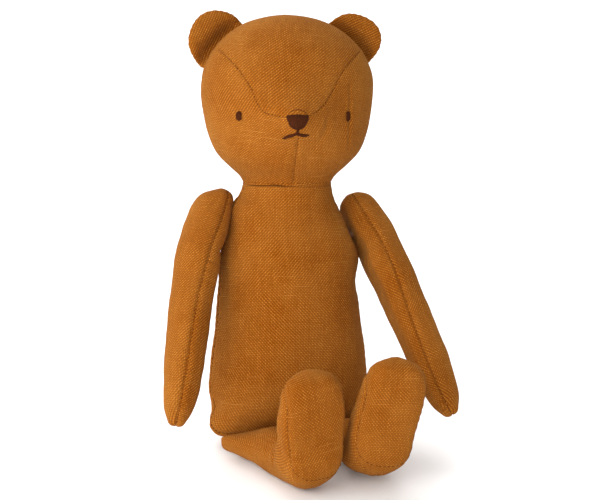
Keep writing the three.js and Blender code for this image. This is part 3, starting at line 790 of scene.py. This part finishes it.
def face(skin, on_face):
    """The embroidered nose, mouth and eyes, all of them threads laid side by side."""

    def arch(count):
        return np.sin(np.linspace(0, math.pi, count)) ** 0.6

    nose = []
    for x in np.linspace(-NOSE_HALF, NOSE_HALF, 16):
        low = np.interp(abs(x), [0, 1.6, 3.0, 3.7, 4.2], [22.7, 22.9, 24.0, 25.6, 27.2])
        z = np.linspace(NOSE_TOP - 0.02 * x * x, low, 13)
        dome = 0.1 + (0.75 - 0.03 * x * x) * arch(13)
        nose.append(strand(laid_on(skin, on_face(x * np.linspace(1, 0.9, 13), z), dome), 0.38))
    x = np.linspace(-3.8, 3.8, 19)
    over_nose = on_face(x, NOSE_TOP + 0.1 + 1.6 * np.cos(x / 4 * math.pi / 2))
    bridge = [strand(laid_on(skin, over_nose, -0.03), 0.15)]
    thread_piece("nose_bridge_stitches", bridge, HEAD_PLACE, "head")
    thread_piece("nose_satin_stitch", nose, HEAD_PLACE, "head", ["nose_embroidery"], THREAD)
    mouth = []
    for path in (
        [(0, 23.2), (0, 22.2), (0, 21.1)], [(0.4, 23.0), (0.15, 22.0), (0.2, 21.2)],
        [(0.6, 21.4), (-2.2, 20.6), (-5.3, 18.9)], [(0.2, 20.9), (-2.2, 20.2), (-4.7, 18.9)],
        [(-0.5, 21.4), (2.2, 20.8), (5.0, 20.3)], [(-0.2, 20.9), (2.0, 20.4), (4.3, 20.1)],
    ):
        line = flowing([(x, 0, z) for x, z in path], 0.3)
        rise = 0.36 * np.sin(np.linspace(0.25, math.pi - 0.15, len(line)))
        mouth.append(strand(laid_on(skin, on_face(line[:, 0], line[:, 2]), rise), 0.4))
    thread_piece("mouth_stitches", mouth, HEAD_PLACE, "head", ["mouth_embroidery"], THREAD)
    for name, side in SIDES:
        eye = []
        for dx in np.linspace(-EYE_HALF[name], EYE_HALF[name], 5):
            tall = 2.0 * math.sqrt(1 - (dx / 1.15) ** 2)
            place = on_face(side * EYE_X + dx, np.linspace(EYE_Z + tall, EYE_Z - tall, 11))
            eye.append(strand(laid_on(skin, place, 0.12 + 0.42 * arch(11)), 0.29))
        nodes = [f"eye_{name}"]
        thread_piece(f"eye_{name}_satin_stitch", eye, HEAD_PLACE, "head", nodes, THREAD)


def ear(name, side, rows):
    """A flat, cupped ear whose lower part is pulled out onto the head's rings given by rows."""
    rings = 34
    share = np.linspace(0.02, 1, rings) ** 0.8
    r = np.concatenate([share, share[-2::-1]])[:, None]
    behind = np.concatenate([np.ones(rings), -np.ones(rings - 1)])[:, None]
    angles = spread(110)
    thick = 1.7 * np.sqrt(np.clip(1 - r ** 5, 0, 1)) * behind
    c, s = np.cos(angles), np.sin(angles)
    factor = through(EAR_ANGLES, EAR_SHAPE[name], np.degrees(np.arctan2(s, side * c)))
    x, z = r * EAR_RADIUS * c * factor, r * EAR_RADIUS * s * factor
    off_head = np.hypot(side * x + EAR_X, z + EAR_Z - 30) - 38.5
    cup = 6.0 * np.exp(-((off_head + 0.4) / 3.1) ** 2) * (1 - 0.5 * r ** 4) - 1.4 + 0.3 * r ** 2
    cup = cup - 0.2 * np.maximum(side * x + 3, 0)
    skin = Skin(np.stack([x, cup + thick, z], 2))
    skin.lumps(0.35, 9, 4.2 + side)
    edge = evenly(skin.p[rings - 1][np.r_[0:len(angles), 0]])
    skin.sew(edge, 0.45, 0.4, 0.2, 0.12, 2.8)
    matrix = turn("x", math.radians(-8)) @ turn("z", side * math.radians(3))
    placed = skin.p @ matrix.T + [side * EAR_X, EAR_SEAM_Y, EAR_Z]
    height, half, front, back = rows.T
    wide = np.interp(placed[..., 2], height, half) - 1.4
    deep = np.interp(placed[..., 2], height, np.maximum(front, back)) - 1.4
    inside = np.sqrt((placed[..., 0] / wide) ** 2 + (placed[..., 1] / deep) ** 2)
    out = np.where(placed[..., 2] < HEAD_HEIGHT - 1, np.maximum(1 / np.maximum(inside, 0.05), 1), 1)
    placed[..., :2] *= np.minimum(out, 1.6)[..., None]
    skin.p = placed

    def panels(points, round_it, row):
        return np.where(row > rings - 1, 4.0, 5.0) + 0.3 * side, 0, 0.2 * side

    nodes = [f"ear_{name}_front", f"ear_{name}_back"]
    piece = skin_piece(f"ear_{name}_cloth", skin, panels, HEAD_PLACE, "head", nodes)
    flat_grain(piece, HEAD_PLACE, 0, 2, 0.35 * side)


# ---- Straight grain ----
def facing_of(mesh, times):
    """Direction that each part of a mesh faces, evened out over its neighbours."""
    facing = values_of(mesh.vertex_normals, "vector", 3)
    start, end = values_of(mesh.edges, "vertices", 2, int).T
    for _ in range(times):
        total = facing.copy()
        for here, there in ((start, end), (end, start)):
            for k in range(3):
                total[:, k] += np.bincount(here, facing[there, k], len(facing))
        facing = total / np.linalg.norm(total, axis=1, keepdims=True)
    return facing


def flat_grain(piece, place, first, second, angle, panel=None, above=None):
    """Lays the weave straight over a flat piece, by two of its body's own axes, or over one panel of a piece:
    unrolled round the panel's edges, or, with a height given, just its part above that height."""
    mesh = piece.data
    loops = values_of(mesh.loops, "vertex_index", 1, int)[:, 0]
    cloth = values_of(mesh.attributes["cloth"].data, "vector", 3)
    local = ((values_of(mesh.vertices, "co", 3) - place[1]) @ place[0])[loops]
    here = np.ones(len(loops), bool) if panel is None else np.abs(cloth[:, 2] - PANEL_STEP * panel) < 0.01
    if above is not None:
        here &= local[:, 2] > above
    local = local[here]
    a, b = local[:, first], local[:, second]
    if panel is not None and above is None:
        facing = (facing_of(mesh, 80) @ place[0])[loops[here]]
        behind = local[:, 3 - first - second]
        behind = 0.9 * (behind - behind.min())
        a, b = a + behind * facing[:, first], b + behind * facing[:, second]
    c, s = math.cos(angle), math.sin(angle)
    cloth[here, 0], cloth[here, 1] = a * c - b * s, a * s + b * c
    mesh.attributes["cloth"].data.foreach_set("vector", cloth.ravel())


# ---- Arms ----
def arm(name, side):
    """A stuffed arm. It hangs down from its joint, with its inner face on the torso."""
    rows = profile(np.array(ARM_SECTIONS) * [ARM_LENGTH, 1], [0, 1], 0.6, 2.0)
    down, half = rows.T
    share = down / ARM_LENGTH
    seam_angle = np.radians(90 + side * np.interp(share, *ARM_SEAM_TURN[name]))
    front = math.pi / 2 + side * math.radians(20)
    angles = spread(130, (front, front + math.pi), 0.45, 1.6)
    c, s = np.cos(angles), np.sin(angles)
    inner_face = 0.7
    over = ARM_MIDDLE + side * half[:, None] * ARM_FLATNESS * c - inner_face
    hang = through(*ARM_LEAN[name], share) - 3.2 * np.clip((share - 0.4) / 0.6, 0, 1) ** 1.6
    x = inner_face + over + lift(over, 0.8) + hang[:, None]
    z = ARM_ABOVE_JOINT[name] - ARM_DROP[name] - down * ARM_STRETCH[name]
    skin = Skin(np.stack([side * x, -half[:, None] * s, np.repeat(z[:, None], len(angles), 1)], 2))
    shoulder = (side * 3.5, -4, ARM_ABOVE_JOINT[name] - 2), (4, 5, 3.5), ARM_SHOULDER[name]
    by_the_torso = (side * 2, -3, -9.5), (7, 9, 4), -1.3
    skin.bump(shoulder, by_the_torso)
    skin.lumps(0.55, 13, 6.3 + side)
    skin.lumps(0.18, 5, 2.2 + side)
    ends = (down > 0.8) & (down < ARM_LENGTH - 0.5)
    seams = [evenly(skin.at_angle(angles, seam_angle + turned)[ends]) for turned in (0, math.pi)]
    bend = ARM_BEND[name]
    for height, width, depth in (bend, (bend[0] - 4.5, 0.9, 0.3)):
        inner = [(side * (ARM_MIDDLE - 6), -9 + 2.4 * k, height - 0.25 * k * k) for k in range(6)]
        skin.crease(laid_on(skin, flowing(inner, 0.4), 0.0), depth, width)
    for seam in seams:
        skin.sew(seam, 0.5, 0.36, 0.3, 0.12)
    skin.lean += ARM_WEAVE[name]
    middle = skin.p.mean(1)
    ring = np.append(angles, TAU)

    def panels(points, round_it, row):
        x, y, seam = (np.interp(-points[:, 2], -middle[:, 2], known) for known in (*middle.T[:2], seam_angle))
        is_first = np.sin(np.arctan2(y - points[:, 1], points[:, 0] - x) - seam) > 0
        panel_middles = np.array([
            [np.interp((angle + quarter) % TAU, ring, line) for angle, line in zip(seam_angle, round_it)]
            for quarter in (-math.pi / 2, math.pi / 2)
        ])
        centre = panel_middles[is_first.astype(int), row]
        return is_first + 1 + 0.3 * side, centre, np.where(is_first, 0.04, -0.05)

    matrix = TRUNK @ turn("y", -side * SHOULDER_TILT[name]) @ turn("x", -ARM_SWING[name])
    place = (matrix, JOINTS[f"arm_{name}_swing"])
    nodes = [f"arm_{name}_outer", f"arm_{name}_inner", f"arm_{name}_stuffing"]
    skin_piece(f"arm_{name}_cloth", skin, panels, place, f"arm_{name}", nodes)
    sewn = [made for seam in seams for made in stitches(skin, seam, aside=0.28)]
    thread_piece(f"arm_{name}_seam_stitches", sewn, place, f"arm_{name}")


# ---- Legs ----
def twisted(points, angle):
    """The leg's points, turned about its length more and more from the hip to the foot."""
    share = np.clip((-points[..., 1] - 2) / (SOLE_FACE - 22), 0, 1)
    angle = angle * share * share * (3 - 2 * share)
    c, s = np.cos(angle), np.sin(angle)
    x, z = points[..., 0], points[..., 2]
    return np.stack([x * c + z * s, points[..., 1], z * c - x * s], -1)


def rim_at(height):
    """How far ahead the sole's seam lies; it runs back over the tip of the toes."""
    return SOLE_FACE - SOLE_DEPTH - 5.5 * np.clip((height - 27) / 11, 0, 1) ** 2


def leg(name, side):
    """A leg that lies forward from the flat hip seam, with its foot turned up."""
    rows = profile(LEG_SECTIONS, [0, 1], 0.5, 3.0)
    ahead, up, tilt, half, sole, instep = rows.T
    tilt = np.radians(tilt)
    angles = spread(170)
    c, s = np.cos(angles), np.sin(angles)
    foot = np.clip((tilt[:, None] - 0.5) / 0.6, 0, 1)
    hip = np.clip(1 - ahead[:, None] / 12, 0, 1)
    square = 1 - 0.45 * np.maximum(foot * (s < 0), hip)
    upper_foot = np.clip((up[:, None] - 8) / 10, 0, 1)
    narrowing = (1 - 0.42 * foot * upper_foot * np.maximum(s, 0)) * (1 - 0.11 * foot)
    wide = np.sign(c) * np.abs(c) ** square * narrowing
    reach = np.where(s < 0, sole[:, None], instep[:, None]) * np.sign(s) * np.abs(s) ** square
    lean = TOE_LEAN[name] * np.clip((up[:, None] - 16) / 26, 0, 1) + FOOT_SHIFT[name] * foot
    up = up * np.where(up > 0, FOOT_HEIGHT[name], 1)
    up += HEEL_LIFT[name] * np.clip((ahead - 16) / 26, 0, 1)
    skin = Skin(np.stack([
        half[:, None] * wide + lean,
        -ahead[:, None] + reach * np.sin(tilt)[:, None],
        up[:, None] + reach * np.cos(tilt)[:, None],
    ], 2))
    outer = np.clip(side * skin.p[..., 0] / 11.8, 0, 1)
    skin.p[..., 1] += HIP_TUCK * outer ** 2 * np.clip(1 - ahead[:, None] / 15, 0, 1)
    heel = (-10, -38, 0), (6, 8, 8), HEEL_BULGE[name]
    beside_toes = (-14, -48, 31), (6, 12, 9), -FOOT_CORNER[name]
    under_heel = (-11, -37, -7), (6, 8, 6), -HEEL_HOLLOW[name]
    skin.bump(heel, beside_toes, under_heel)
    skin.lumps(0.45, 14, 7.9 + side)
    skin.lumps(0.16, 5.5, 0.6 + side)
    sole_line = skin.crossing(-skin.p[..., 1] - rim_at(skin.p[..., 2]))
    x, _, z = (sole_line - (sole_line.max(0) + sole_line.min(0)) / 2).T
    sole_line = sole_line[np.argsort(np.arctan2(z, x))]
    sole_line = evenly(blurred(np.vstack([sole_line[-12:], sole_line, sole_line[:12]]), 4.0)[12:-11])
    above = skin.at_angle(angles, math.pi / 2)
    below = skin.at_angle(angles, 1.5 * math.pi)
    above = evenly(above[(ahead > 1) & (-above[:, 1] < rim_at(above[:, 2]))])
    below = evenly(below[1:int(np.argmax(-below[:, 1] > rim_at(below[:, 2])))])
    for place, depth in ((27.5, 0.3), (31, 0.45), (34.5, 0.55), (37.5, 0.5)):
        row = int(np.argmin(np.abs(ahead - place)))
        for centre, spreading in ((0.5, 0.9), (0.92, 0.5), (0.08, 0.5)):
            away = (angles - centre * math.pi + math.pi) % TAU - math.pi
            arc = np.nonzero(np.abs(away) < spreading)[0]
            arc = arc[np.argsort(away[arc])]
            drift = np.array([0, 0.9, 0]) * np.sin(np.linspace(0, 3, len(arc)) + place)[:, None]
            skin.crease(evenly(skin.p[row, arc] + drift), depth, 0.9)
    skin.sew(sole_line, 0.42, 0.34, 0.25, 0.1)
    for seam in (above, below):
        skin.sew(seam, 0.35, 0.32, 0.2, 0.1)
    right_side, left_side = column_at(angles, math.pi), column_at(angles, 0)

    def panels(points, round_it, row):
        is_sole = -points[:, 1] > rim_at(points[:, 2])
        left = points[:, 0] > 0
        column = np.where(left, left_side, right_side)
        column = np.where(left & (points[:, 2] < np.interp(-points[:, 1], ahead, up)), len(angles), column)
        return np.where(is_sole, 3, 1 + left) + 0.3 * side, round_it[row, column], 0.08 * side

    joint = JOINTS[f"leg_{name}_swing"]
    place = (turn("z", -side * LEG_TOE_IN[name]), joint)
    twist = side * LEG_TWIST[name]
    seams = ((sole_line, 0.3), (above, 0.2), (below, 0.2))
    sewn = [made for seam, aside in seams for made in stitches(skin, seam, aside=aside)]
    sewn = [(twisted(points, twist), faces, values) for points, faces, values in sewn]
    skin.lean = 0.5 * np.clip((-skin.p[..., 1] - 36) / 8, 0, 1)
    skin.p = twisted(skin.p, twist)
    level = skin.p[..., 2] + joint[2] / MM - HEEL_CLEARANCE[name]
    skin.p[..., 2] += lift(level, 0.5)
    nodes = [f"leg_{name}_{part}" for part in ("outer", "inner", "sole", "stuffing")]
    piece = skin_piece(f"leg_{name}_cloth", skin, panels, place, f"leg_{name}", nodes)
    flat_grain(piece, place, 0, 2, 0.1 * side, 3 + 0.3 * side)
    for panel in (1, 2):
        flat_grain(piece, place, 0, 1, 0.1 * side, panel + 0.3 * side, TOE_TOP * MM)
    thread_piece(f"leg_{name}_seam_stitches", sewn, place, f"leg_{name}")


torso()
head()
for one_side in SIDES:
    arm(*one_side)
    leg(*one_side)

for node_name, node in frame["nodes"].items():
    if node_name.endswith(("disc", "lock", "washer")):
        node.data.materials.clear()
        node.data.materials.append(PLASTIC)

bpy.ops.mesh.primitive_plane_add(size=12)
floor = bpy.context.object
floor.name = "floor"
floor.data.materials.append(FLOOR)
